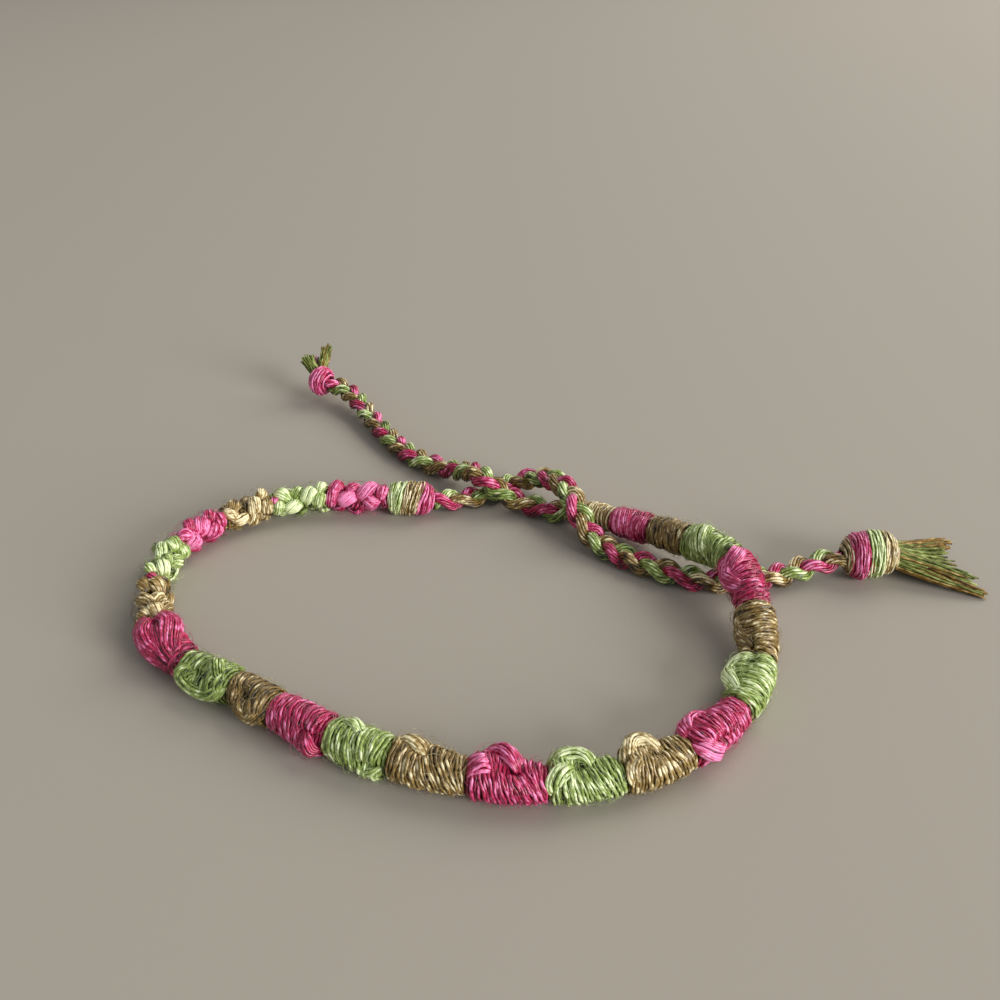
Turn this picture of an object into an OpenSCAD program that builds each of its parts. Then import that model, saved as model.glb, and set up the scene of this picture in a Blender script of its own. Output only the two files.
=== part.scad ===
// Friendship bracelet: a loop of knotted cotton segments in three colours in turn,
// closed by two plaited ties that cross each other twice behind it.
// Millimetres, at real size. The origin is on the surface that the loop rests on,
// under the middle of the loop. +Z is up, and the front of the loop faces -Y.
// Every piece is a soft solid: a skin over rings that follow the centreline.

/* [Loop] */
// Width of the loop along X, between the band's centrelines
loop_w = 61; // [50:1:75]
// Depth of the loop along Y, between the band's centrelines
loop_d = 43; // [35:1:60]
// Thickness of the knotted band
band_d = 3.7; // [3:0.1:5]
// How far the tallest knots of the ridge stand proud of the band
ridge_h = 1.3; // [0.4:0.1:1.6]
// Gap between neighbouring pieces of the band
gap = 0.04; // [0.02:0.01:0.2]

/* [Ties] */
// Thickness of each plaited tie
tie_d = 2.4; // [1.6:0.1:3]
// Gap between the raised band and the tie that passes under it
tie_gap = 0.15; // [0.05:0.05:0.6]

/* [Knots] */
// Thickness of the wrapped knot that starts the band
start_knot_d = 4.1; // [3:0.1:5]
// Thickness of the small knot that ends the band
end_knot_d = 3.1; // [2.4:0.1:4]
// Thickness of the knot on the far tie
far_knot_d = 4.1; // [3:0.1:6]
// Length of the knot on the far tie
far_knot_len = 2.8; // [2:0.1:6]
// Thickness of the knot on the near tie
near_knot_d = 5.2; // [4:0.1:7]
// Length of the knot on the near tie
near_knot_len = 5.8; // [3:0.1:8]

/* [Tassel] */
// Length of the longest lock of the tassel, from the near tie's knot
tassel_len = 10.4; // [5:0.1:20]
// Thickness of one lock of the tassel at its root
lock_d = 1.8; // [0.8:0.1:3]
// Length of the longest cut tail on the far tie's knot
tail_len = 5.4; // [2:0.1:12]

/* [Hidden] */
band_r = band_d / 2;
tie_r = tie_d / 2;
// Sides of a ring of the band and of the knots, of a tie and of a lock
sides = 16;
tie_sides = 8;
lock_sides = 6;
// How far the band rises where it crosses over the near tie
climb = tie_d + tie_gap;
// Girth of a segment's ends, as a share of band_r
neck = 0.8;
// How sharply a lobe of the ridge falls away round the band
lobe_power = 3;
// Angle from the middle of a heart to each of its two lobes
heart_spread = 60;
// How deep the locks are rooted in their knot, as a share of lock_d
root_depth = 0.4;

// Ends of the segments on the centreline, from the start knot round the front.
// Columns: x as a share of loop_w, y as a share of loop_d, rise as a share of climb
band_route = [
    [-0.125, 0.500, 0], [-0.245, 0.500, 0], [-0.350, 0.465, 0], [-0.435, 0.385, 0],
    [-0.490, 0.265, 0], [-0.495, 0.110, 0], [-0.460, -0.055, 0], [-0.385, -0.175, 0],
    [-0.300, -0.245, 0], [-0.230, -0.310, 0], [-0.145, -0.380, 0], [-0.055, -0.440, 0],
    [0.050, -0.485, 0], [0.155, -0.500, 0], [0.255, -0.480, 0], [0.350, -0.420, 0],
    [0.435, -0.310, 0], [0.485, -0.175, 0.1], [0.500, -0.025, 0.55],
    [0.485, 0.120, 1.10], [0.425, 0.225, 0.75], [0.370, 0.315, 0.35], [0.305, 0.380, 0.1]
];

// How each segment is knotted, in the same order. Columns: form (0 barrel, 1 heart, 2 loose,
// 3 barrel with its lobe near its far end), angle of its lobe from outward over the top,
// height of its lobe as a share of ridge_h, thickness as a share of band_d
segments = [
    [2, 75, 0.8, 1], [2, 110, 0.7, 1], [2, 80, 0.7, 1], [2, 150, 0.8, 1.02],
    [2, 70, 0.7, 1], [2, 130, 0.7, 1.02], [1, 80, 0.8, 1.04], [3, 50, 0.6, 1.02],
    [3, 15, 0.6, 1], [3, 335, 0.8, 1.02], [3, 340, 0.5, 1.04], [0, 115, 0.9, 1],
    [0, 120, 1, 1.02], [0, 120, 0.9, 1], [0, 120, 1, 1], [1, 95, 0.8, 1],
    [3, 165, 0.9, 1.04], [3, 185, 0.4, 1.06], [3, 180, 0.7, 1.06], [3, 80, 0.8, 1.04],
    [0, 100, 0.4, 1], [0, 200, 0.6, 0.96]
];

// Girth of a segment along its length, for each form.
// Columns: share of its length, share of band_r, share of ridge_h, sway as a share of band_r
barrel = [
    [0, neck, 0, 0], [0.05, 0.95, 0.6, 0], [0.16, 1, 1, 0], [0.32, 1, 1, 0],
    [0.48, 1, 0.5, 0], [0.64, 0.98, 0.15, 0], [0.80, 0.96, 0.05, 0], [0.94, 0.89, 0, 0],
    [1, neck, 0, 0]
];
heart = [
    [0, neck, 0, 0], [0.05, 0.94, 0.4, 0.05], [0.18, 1, 0.7, 0.1], [0.34, 1, 0.65, 0.1],
    [0.50, 0.98, 0.4, 0.05], [0.66, 0.95, 0.25, 0], [0.82, 0.91, 0, 0], [0.94, 0.86, 0, 0],
    [1, neck, 0, 0]
];
loose = [
    [0, neck, 0, 0], [0.06, 0.88, 0.15, 0.1], [0.20, 0.96, 0.5, 0.16], [0.36, 0.90, 0.2, 0],
    [0.50, 0.96, 0.5, -0.14], [0.64, 0.90, 0.15, 0], [0.80, 0.96, 0.4, 0.12], [0.94, 0.86, 0, 0],
    [1, neck, 0, 0]
];
far_barrel = [for (i = [len(barrel) - 1 : -1 : 0]) [1 - barrel[i][0], each [for (k = [1 : 3]) barrel[i][k]]]];
forms = [barrel, heart, loose, far_barrel];

// Girth of a wrapped knot. Columns: share of its length, share of its girth beyond the tie
wrap = [[0, 0], [0.06, 0.55], [0.22, 0.95], [0.42, 1], [0.62, 0.94], [0.82, 0.86], [0.95, 0.5], [1, 0]];

// Girth of a lock. Columns: share of its length, share of its thickness
lock_parts = [[0, 1], [0.3, 1.1], [0.7, 1], [1, 0.7]];
// Locks of the tassel. Columns: sideways angle, droop angle, share of tassel_len,
// side shift and height shift at the root as shares of lock_d, share of lock_d
tassel_locks = [
    [20, 18, 0.66, 0.3, 0.2, 1], [12, 20, 0.72, 0.1, 0, 1], [18, 26, 0.60, 0.3, -0.25, 1],
    [-12, 20, 0.80, -0.1, -0.15, 1], [-26, 19, 0.94, -0.3, 0.1, 0.95], [-33, 20, 1, -0.35, -0.2, 0.85]
];
// Cut tails on the far knot. Columns as above, with tail_len
far_tails = [
    [-26, -28, 0.7, -0.1, 0.1, 0.7], [-66, -44, 1, -0.4, 0.2, 0.55], [-48, -20, 0.8, -0.3, -0.2, 0.6]
];

// Route of the tie that leaves the band's end knot, over the near tie and away
far_tie_route = [
    [15.4, 18.0, 1.9], [13.8, 18.9, 1.4], [11.8, 19.6, 1.25], [9.8, 20.6, 1.25],
    [7.8, 21.3, 1.5], [6.0, 21.6, 2.5], [4.4, 22.1, 3.6], [3.0, 23.3, 4.0],
    [1.8, 25.2, 3.3], [0.4, 27.3, 2.2], [-1.4, 29.3, 1.4], [-4.2, 31.2, 1.25], [-7.4, 34.6, 1.25],
    [-10.0, 38.8, 1.3], [-12.4, 43.1, 1.5], [-14.6, 47.0, 2.0], [-16.8, 49.5, 2.6],
    [-19.0, 50.6, 2.9]
];
// Route of the tie that leaves the start knot, over the far tie and under the band
near_tie_route = [
    [-2.4, 21.2, 1.9], [-0.6, 21.6, 1.5], [1.2, 22.1, 1.25], [2.8, 22.8, 1.25],
    [4.4, 23.7, 1.25], [6.0, 24.9, 1.25], [7.6, 25.8, 1.4], [9.2, 25.8, 1.9],
    [10.8, 24.6, 2.8], [12.1, 22.6, 3.6], [13.0, 20.5, 4.1], [13.6, 18.7, 4.2], [14.1, 17.0, 4.1],
    [14.8, 15.2, 3.1], [15.8, 13.6, 1.9], [17.6, 11.8, 1.3], [21.0, 9.2, 1.25],
    [25.0, 6.9, 1.25], [29.0, 6.0, 1.25], [33.0, 6.4, 1.25], [36.4, 7.4, 1.3],
    [38.8, 8.3, 1.6], [40.6, 8.7, 1.9], [42.4, 8.8, 2.2]
];

// Colours of the floss
pink = "#c8386e";
green = "#9dbf6a";
gold = "#b49a5c";
floss = [pink, green, gold];

// Vectors, and a smooth curve through a list of points

function unit(v) = v / norm(v);
// Point number i of a list, carried straight on past either end
function point(list, i) =
    i < 0 ? 2 * list[0] - list[1] :
    i >= len(list) ? 2 * list[len(list) - 1] - list[len(list) - 2] : list[i];
// Place on the curve at share t of the stretch that starts at point i
function place(list, i, t) = let (
        a = point(list, i - 1), b = point(list, i), c = point(list, i + 1), d = point(list, i + 2)
    ) (2 * b + (c - a) * t + (2 * a - 5 * b + 4 * c - d) * t * t
        + (3 * b - a - 3 * c + d) * t * t * t) / 2;
// Direction of the curve there
function heading(list, i, t) = let (
        a = point(list, i - 1), b = point(list, i), c = point(list, i + 1), d = point(list, i + 2)
    ) unit((c - a) + 2 * (2 * a - 5 * b + 4 * c - d) * t + 3 * (3 * b - a - 3 * c + d) * t * t);
// Outward and upward directions square to a heading
function outward(h) = unit(cross(h, [0, 0, 1]));
function upward(h) = cross(outward(h), h);
// A point held up by the surface that the bracelet rests on
function rested(p) = [p.x, p.y, max(p.z, 0)];

// A ring of radius r, with up to two lobes at given angles, square to heading h
function ring(centre, h, r, lobe = 0, angles = [], n = sides) = [
    for (k = [0 : n - 1]) let (
        a = 360 * k / n,
        swell = max([0, for (at = angles) cos(a - at)]),
        reach = r + lobe * pow(swell, lobe_power)
    ) rested(centre + reach * (cos(a) * outward(h) + sin(a) * upward(h)))
];

// A closed skin over rings of the same number of points
module skin(rings) {
    n = len(rings[0]);
    last = len(rings) - 1;
    polyhedron(
        points = [for (r = rings) each r],
        faces = concat(
            [for (k = [1 : n - 2]) [0, k + 1, k]],
            [for (j = [0 : last - 1], k = [0 : n - 1], half = [0, 1]) let (
                a = j * n + k, b = j * n + (k + 1) % n
            ) half == 0 ? [a, b, a + n] : [b, b + n, a + n]],
            [for (k = [1 : n - 2]) [last * n, last * n + k, last * n + k + 1]]
        ),
        convexity = 4
    );
}

// The band

centreline = [for (p = band_route) [p.x * loop_w, p.y * loop_d, band_r + p.z * climb]];
band_end = len(centreline) - 1;

// One segment of the band: rings from one end of its stretch to the other
module segment(index) {
    form = segments[index][0];
    turn = segments[index][1];
    height = segments[index][2] * ridge_h;
    radius = segments[index][3] * band_r;
    angles = form == 1 ? [turn - heart_spread, turn + heart_spread] :
        form == 2 ? [turn, turn + 180] : [turn];
    stretch = norm(centreline[index + 1] - centreline[index]);
    skin([
        for (row = forms[form]) let (
            t = gap / 2 / stretch + row[0] * (1 - gap / stretch),
            h = heading(centreline, index, t),
            sway = row[3] * band_r * (cos(turn) * outward(h) + sin(turn) * upward(h))
        ) ring(place(centreline, index, t) + sway, h, row[1] * radius, row[2] * height, angles)
    ]);
}

module band_segment(number) color(floss[(number - 1) % 3]) segment(number - 1);

// The knots

// A wrapped knot on the curve from a to b, which closes to radius ra and rb at its ends
module wrapped_knot(a, ha, b, hb, ra, rb, girth) {
    bow = norm(b - a);
    skin([
        for (row = wrap) let (
            t = row[0],
            centre = a * (1 - t) * (1 - t) * (1 + 2 * t) + b * t * t * (3 - 2 * t)
                + bow * t * (1 - t) * ((1 - t) * ha - t * hb),
            inner = ra + (rb - ra) * t
        ) ring(centre, unit(ha * (1 - t) + hb * t), inner + (girth / 2 - inner) * row[1])
    ]);
}

// One lock of cut floss: it leaves the root at its angles to heading h and thins to its tip
module lock(root, h, row, length, thick) {
    aim = unit(h - tan(row[0]) * outward(h) - tan(row[1]) * upward(h));
    start = root - row[3] * thick * outward(h) + row[4] * thick * upward(h);
    rings = [
        for (part = lock_parts)
            ring(start + part[0] * row[2] * length * aim, aim, part[1] * row[5] * thick / 2,
                n = lock_sides)
    ];
    for (i = [1 : len(rings) - 1]) hull() skin([rings[i - 1], rings[i]]);
}

module start_knot() color(green) wrapped_knot(
    near_tie_route[0], -heading(near_tie_route, 0, 0),
    centreline[0] - gap * heading(centreline, 0, 0), heading(centreline, 0, 0),
    tie_r, neck * band_r, start_knot_d);

module end_knot() color(gold) wrapped_knot(
    centreline[band_end] + gap * heading(centreline, band_end - 1, 1),
    heading(centreline, band_end - 1, 1),
    far_tie_route[0], heading(far_tie_route, 0, 0),
    neck * band_r, tie_r, end_knot_d);

module far_tie_knot() {
    tip = len(far_tie_route) - 1;
    h = heading(far_tie_route, tip - 1, 1);
    end = far_tie_route[tip] + far_knot_len * h;
    color(pink) union() {
        wrapped_knot(far_tie_route[tip], h, end, h, tie_r, tie_r, far_knot_d);
        for (row = far_tails) lock(end - root_depth * lock_d * h, h, row, tail_len, lock_d);
    }
}

module near_tie_knot() {
    tip = len(near_tie_route) - 1;
    h = heading(near_tie_route, tip - 1, 1);
    end = near_tie_route[tip] + near_knot_len * h;
    color(green) union() {
        wrapped_knot(near_tie_route[tip], h, end, h, tie_r, tie_r, near_knot_d);
        for (row = tassel_locks) lock(end - root_depth * lock_d * h, h, row, tassel_len, lock_d);
    }
}

// The ties: one skin along each route, with two rings for each of its points

module tie(route) skin([
    for (i = [0 : len(route) - 2], t = [0, 0.5, 1]) if (t < 1 || i == len(route) - 2)
        ring(place(route, i, t), heading(route, i, t), tie_r, n = tie_sides)
]);

module near_tie() color(gold) tie(near_tie_route);
module far_tie() color(pink) tie(far_tie_route);

start_knot();
band_segment(1);  // segment_01
band_segment(2);  // segment_02
band_segment(3);  // segment_03
band_segment(4);  // segment_04
band_segment(5);  // segment_05
band_segment(6);  // segment_06
band_segment(7);  // segment_07
band_segment(8);  // segment_08
band_segment(9);  // segment_09
band_segment(10);  // segment_10
band_segment(11);  // segment_11
band_segment(12);  // segment_12
band_segment(13);  // segment_13
band_segment(14);  // segment_14
band_segment(15);  // segment_15
band_segment(16);  // segment_16
band_segment(17);  // segment_17
band_segment(18);  // segment_18
band_segment(19);  // segment_19
band_segment(20);  // segment_20
band_segment(21);  // segment_21
band_segment(22);  // segment_22
end_knot();
near_tie();
near_tie_knot();
far_tie();
far_tie_knot();
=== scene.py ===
"""Dresses the friendship bracelet: cotton floss knotted into a band of short segments, pink,
light green and gold in turn, with a plaited tie and a knot at each end.

Lengths are metres in the frame of the CAD model: the loop lies on z = 0, +Z is up and the
front of the loop faces -Y. Each piece is laid strand by strand on the form of its solid.
"""
import logging
import math
from dataclasses import dataclass, field
from enum import Enum

import bpy
import numpy as np
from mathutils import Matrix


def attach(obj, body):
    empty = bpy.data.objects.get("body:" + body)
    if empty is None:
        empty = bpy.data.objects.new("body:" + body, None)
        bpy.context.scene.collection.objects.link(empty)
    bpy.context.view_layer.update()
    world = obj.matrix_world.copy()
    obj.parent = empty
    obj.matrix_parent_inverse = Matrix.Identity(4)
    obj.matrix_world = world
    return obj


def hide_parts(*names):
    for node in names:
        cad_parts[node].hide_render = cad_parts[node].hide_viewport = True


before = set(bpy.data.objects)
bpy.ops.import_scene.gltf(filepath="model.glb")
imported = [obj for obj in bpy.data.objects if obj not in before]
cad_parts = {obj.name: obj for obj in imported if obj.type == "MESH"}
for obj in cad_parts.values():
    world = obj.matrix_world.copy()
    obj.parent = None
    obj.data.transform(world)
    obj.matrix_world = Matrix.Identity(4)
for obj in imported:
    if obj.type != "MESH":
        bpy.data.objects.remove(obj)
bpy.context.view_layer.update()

log = logging.getLogger("bracelet")
MM = 0.001
UP = np.array([0.0, 0.0, 1.0])
BODY = "root"

# Driving sizes, the same as the solids have
LOOP_W = 61 * MM
LOOP_D = 43 * MM
BAND_R = 3.7 * MM / 2
RIDGE_H = 1.3 * MM
GAP = 0.04 * MM
TIE_D = 2.4 * MM
TIE_GAP = 0.15 * MM
CLIMB = TIE_D + TIE_GAP
NECK = 0.8
LOBE_POWER = 3
HEART_SPREAD = 60.0
ROOT_DEPTH = 0.4

# Thickness of one strand of stranded floss, and the room that it takes beside the next
STRAND_R = 0.145 * MM
STRAND_PITCH = 0.26 * MM
# Painted shade: how much darker a strand is drawn at its sides, where its neighbours shade it,
# than on its top, which is drawn lighter
PAINTED_SIDE_SHADE = 0.26

# Ends of the segments on the centreline, from the start knot round the front.
# Columns: x as a share of LOOP_W, y as a share of LOOP_D, rise as a share of CLIMB
BAND_ROUTE = (
    (-0.125, 0.500, 0), (-0.245, 0.500, 0), (-0.350, 0.465, 0), (-0.435, 0.385, 0),
    (-0.490, 0.265, 0), (-0.495, 0.110, 0), (-0.460, -0.055, 0), (-0.385, -0.175, 0),
    (-0.300, -0.245, 0), (-0.230, -0.310, 0), (-0.145, -0.380, 0), (-0.055, -0.440, 0),
    (0.050, -0.485, 0), (0.155, -0.500, 0), (0.255, -0.480, 0), (0.350, -0.420, 0),
    (0.435, -0.310, 0), (0.485, -0.175, 0.1), (0.500, -0.025, 0.55),
    (0.485, 0.120, 1.10), (0.425, 0.225, 0.75), (0.370, 0.315, 0.35), (0.305, 0.380, 0.1),
)

# Route of the tie that leaves the band's end knot, over the near tie and away
FAR_TIE_ROUTE = (
    (0.0154, 0.0180, 0.0019), (0.0138, 0.0189, 0.0014), (0.0118, 0.0196, 0.00125),
    (0.0098, 0.0206, 0.00125), (0.0078, 0.0213, 0.0015), (0.0060, 0.0216, 0.0025),
    (0.0044, 0.0221, 0.0036), (0.0030, 0.0233, 0.0040), (0.0018, 0.0252, 0.0033),
    (0.0004, 0.0273, 0.0022), (-0.0014, 0.0293, 0.0014), (-0.0042, 0.0312, 0.00125),
    (-0.0074, 0.0346, 0.00125),
    (-0.0100, 0.0388, 0.0013), (-0.0124, 0.0431, 0.0015), (-0.0146, 0.0470, 0.0020),
    (-0.0168, 0.0495, 0.0026), (-0.0190, 0.0506, 0.0029),
)
# Route of the tie that leaves the start knot, over the far tie and under the band
NEAR_TIE_ROUTE = (
    (-0.0024, 0.0212, 0.0019), (-0.0006, 0.0216, 0.0015), (0.0012, 0.0221, 0.00125),
    (0.0028, 0.0228, 0.00125), (0.0044, 0.0237, 0.00125), (0.0060, 0.0249, 0.00125),
    (0.0076, 0.0258, 0.0014), (0.0092, 0.0258, 0.0019), (0.0108, 0.0246, 0.0028),
    (0.0121, 0.0226, 0.0036), (0.0130, 0.0205, 0.0041), (0.0136, 0.0187, 0.0042),
    (0.0141, 0.0170, 0.0041),
    (0.0148, 0.0152, 0.0031), (0.0158, 0.0136, 0.0019), (0.0176, 0.0118, 0.0013),
    (0.0210, 0.0092, 0.00125), (0.0250, 0.0069, 0.00125), (0.0290, 0.0060, 0.00125),
    (0.0330, 0.0064, 0.00125), (0.0364, 0.0074, 0.0013), (0.0388, 0.0083, 0.0016),
    (0.0406, 0.0087, 0.0019), (0.0424, 0.0088, 0.0022),
)


# Materials

def linear(colour: str) -> tuple[float, float, float, float]:
    """Turns an sRGB hex colour to linear.

    Args:
        colour: six hex digits after a hash sign.

    Returns:
        The linear red, green, blue and alpha.
    """
    parts = [int(colour[i:i + 2], 16) / 255 for i in (1, 3, 5)]
    low, knee = 12.92, 0.04045
    curve = [c / low if c <= knee else ((c + 0.055) / 1.055) ** 2.4 for c in parts]
    return (*curve, 1.0)


def add_node(tree: bpy.types.NodeTree, kind: str, links: dict | None = None,
             **settings: object) -> bpy.types.Node:
    """Adds a node with its settings and links.

    Args:
        tree: the material's node tree.
        kind: the node's type.
        links: what goes into each input, by name or number: an output socket or a value.
        settings: the node's own properties.

    Returns:
        The new node.
    """
    made = tree.nodes.new(kind)
    for name, value in settings.items():
        setattr(made, name, value)
    for name, value in (links or {}).items():
        if isinstance(value, bpy.types.NodeSocket):
            tree.links.new(value, made.inputs[name])
        else:
            made.inputs[name].default_value = value
    return made


@dataclass(frozen=True)
class MercerisedCotton:
    """Stranded embroidery floss of mercerised cotton: two plies twisted tightly and treated
    in lye under tension, which gives it a silky gloss. Its colour is taken from a ramp that
    runs from painted shade, as between the strands, through its own colour to painted highlight.
    """

    name: str
    # Colours of the ramp: the floss in painted shade, its own colour, a painted lit tone, and
    # painted highlight
    deep: str
    body: str
    lit: str
    bright: str
    roughness: float = 0.3
    gloss: float = 0.6
    ior: float = 1.54
    # Real length of one turn of the two plies, and real thickness of a fibre drawn
    # three times coarser, since 0.02 mm is too fine to show
    twist: float = 0.9 * MM
    fibre: float = 0.06 * MM
    # How far fibres, plies and painted highlight streaks each lift the tone, and what is
    # then taken off it
    fibre_tone: float = 0.34
    ply_tone: float = 0.12
    painted_glint_tone: float = 2.05
    tone_drop: float = 1.26
    # Where the deep (painted shade), body, lit (painted lit tone) and bright (painted highlight)
    # colours stand on the ramp of tones
    stops: tuple[float, float, float, float] = (0.1, 0.45, 0.72, 0.95)
    # Relief of the plies beside that of the fibres, its height, and how much of it shows
    ply_relief: float = 0.6
    relief: float = 0.02 * MM
    relief_shown: float = 0.5
    # The faint down of loose fibre ends
    down: float = 0.08
    down_roughness: float = 0.4

    def material(self) -> bpy.types.Material:
        """Builds the material, with its pattern laid along each strand.

        Returns:
            The material.
        """
        made = bpy.data.materials.new(self.name)
        made.use_nodes = True
        tree = made.node_tree
        tree.nodes.clear()
        uv = add_node(tree, "ShaderNodeUVMap", uv_map="strand").outputs[0]
        split = add_node(tree, "ShaderNodeSeparateXYZ", {0: uv})
        along, around = split.outputs[0], split.outputs[1]
        shade = add_node(tree, "ShaderNodeAttribute", attribute_name="shade").outputs["Fac"]
        # Two plies: a groove that runs round the strand once in each turn of the twist
        turns = add_node(tree, "ShaderNodeMath", {0: along, 1: MM / self.twist},
                         operation="MULTIPLY").outputs[0]
        place = add_node(tree, "ShaderNodeMath", {0: turns, 1: around}).outputs[0]
        phase = add_node(tree, "ShaderNodeMath", {0: place, 1: 4 * math.pi},
                         operation="MULTIPLY").outputs[0]
        wave = add_node(tree, "ShaderNodeMath", {0: phase}, operation="COSINE").outputs[0]
        plies = add_node(tree, "ShaderNodeMapRange", {0: wave, 1: -1.0, 2: 1.0}).outputs[0]
        # Fibres: fine lines that run along the plies
        lines = 2 * math.pi * STRAND_R / self.fibre
        across = add_node(tree, "ShaderNodeMath", {0: place, 1: lines},
                          operation="MULTIPLY").outputs[0]
        spot = add_node(tree, "ShaderNodeCombineXYZ", {0: along, 1: across}).outputs[0]
        fibres = add_node(tree, "ShaderNodeTexNoise",
                          {"Vector": spot, "Scale": 1.0, "Detail": 2.0}).outputs["Fac"]
        # Painted highlights: short bright streaks of colour at random places along each strand,
        # about 1 mm long
        painted_glints = add_node(tree, "ShaderNodeTexNoise",
                         {"Vector": uv, "Scale": 1.0, "Detail": 1.0}).outputs["Fac"]
        tone = add_node(tree, "ShaderNodeMath", {0: fibres, 1: self.fibre_tone, 2: shade},
                        operation="MULTIPLY_ADD").outputs[0]
        tone = add_node(tree, "ShaderNodeMath", {0: plies, 1: self.ply_tone, 2: tone},
                        operation="MULTIPLY_ADD").outputs[0]
        tone = add_node(tree, "ShaderNodeMath", {0: painted_glints, 1: self.painted_glint_tone, 2: tone},
                        operation="MULTIPLY_ADD").outputs[0]
        tone = add_node(tree, "ShaderNodeMath", {0: tone, 1: self.tone_drop},
                        operation="SUBTRACT").outputs[0]
        tint = add_node(tree, "ShaderNodeValToRGB", {0: tone})
        colour, ramp = tint.outputs[0], tint.color_ramp
        deep_at, body_at, lit_at, bright_at = self.stops
        ramp.elements[0].position = deep_at
        ramp.elements[0].color = linear(self.deep)
        ramp.elements[1].position = bright_at
        ramp.elements[1].color = linear(self.bright)
        ramp.elements.new(body_at).color = linear(self.body)
        ramp.elements.new(lit_at).color = linear(self.lit)
        height = add_node(tree, "ShaderNodeMath", {0: plies, 1: self.ply_relief, 2: fibres},
                          operation="MULTIPLY_ADD").outputs[0]
        bump = add_node(tree, "ShaderNodeBump", {
            "Height": height, "Strength": self.relief_shown, "Distance": self.relief})
        shader = add_node(tree, "ShaderNodeBsdfPrincipled", {
            "Base Color": colour, "Normal": bump.outputs[0],
            "Roughness": self.roughness, "IOR": self.ior, "Specular IOR Level": self.gloss,
            "Sheen Weight": self.down, "Sheen Roughness": self.down_roughness,
            "Sheen Tint": linear(self.bright),
        })
        add_node(tree, "ShaderNodeOutputMaterial", {"Surface": shader.outputs[0]})
        return made


class Floss(Enum):
    """Colours of the floss."""

    PINK = 0
    GREEN = 1
    GOLD = 2
    FRAYED_GREEN = 3
    FRAYED_GOLD = 4


# Each finish: its name, then its colours in painted shade, its own colour, a painted lit tone and
# painted highlight
FINISHES = {
    Floss.PINK: MercerisedCotton(
        "pink_cotton_floss", "#470616", "#B01A47", "#CC3F70", "#FF94C4"),
    Floss.GREEN: MercerisedCotton(
        "light_green_cotton_floss", "#2A330C", "#869A45", "#A9BE6C", "#F4FFC8"),
    Floss.GOLD: MercerisedCotton(
        "gold_cotton_floss", "#2E2208", "#82662D", "#A88C50", "#FFF1C0"),
    # Cut ends: the twist has opened, so that the fibres stand loose and shine less
    Floss.FRAYED_GREEN: MercerisedCotton(
        "frayed_green_cotton_floss", "#353A12", "#6A7434", "#868F48", "#A6B068", 0.6, 0.2),
    Floss.FRAYED_GOLD: MercerisedCotton(
        "frayed_gold_cotton_floss", "#3E2C0C", "#7C5E26", "#94763A", "#C4A868", 0.6, 0.2),
}
MATERIALS = {floss: finish.material() for floss, finish in FINISHES.items()}

# The three flosses in the order in which the band's segments take them, and their slots
COLOURS = (Floss.PINK, Floss.GREEN, Floss.GOLD)
SLOTS = dict(zip(COLOURS, ("pink_floss", "light_green_floss", "gold_floss")))
PLAIT_SLOT = "plaited_floss"
# Painted shade: dark tones for the strands that lie hidden beneath others
CORE_SHADE = 0.1
UNDER_SHADE = 0.24


# Strands and their meshes

def unit(v: np.ndarray) -> np.ndarray:
    """Scales vectors to length one."""
    return v / np.maximum(np.linalg.norm(v, axis=-1, keepdims=True), 1e-12)


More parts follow.
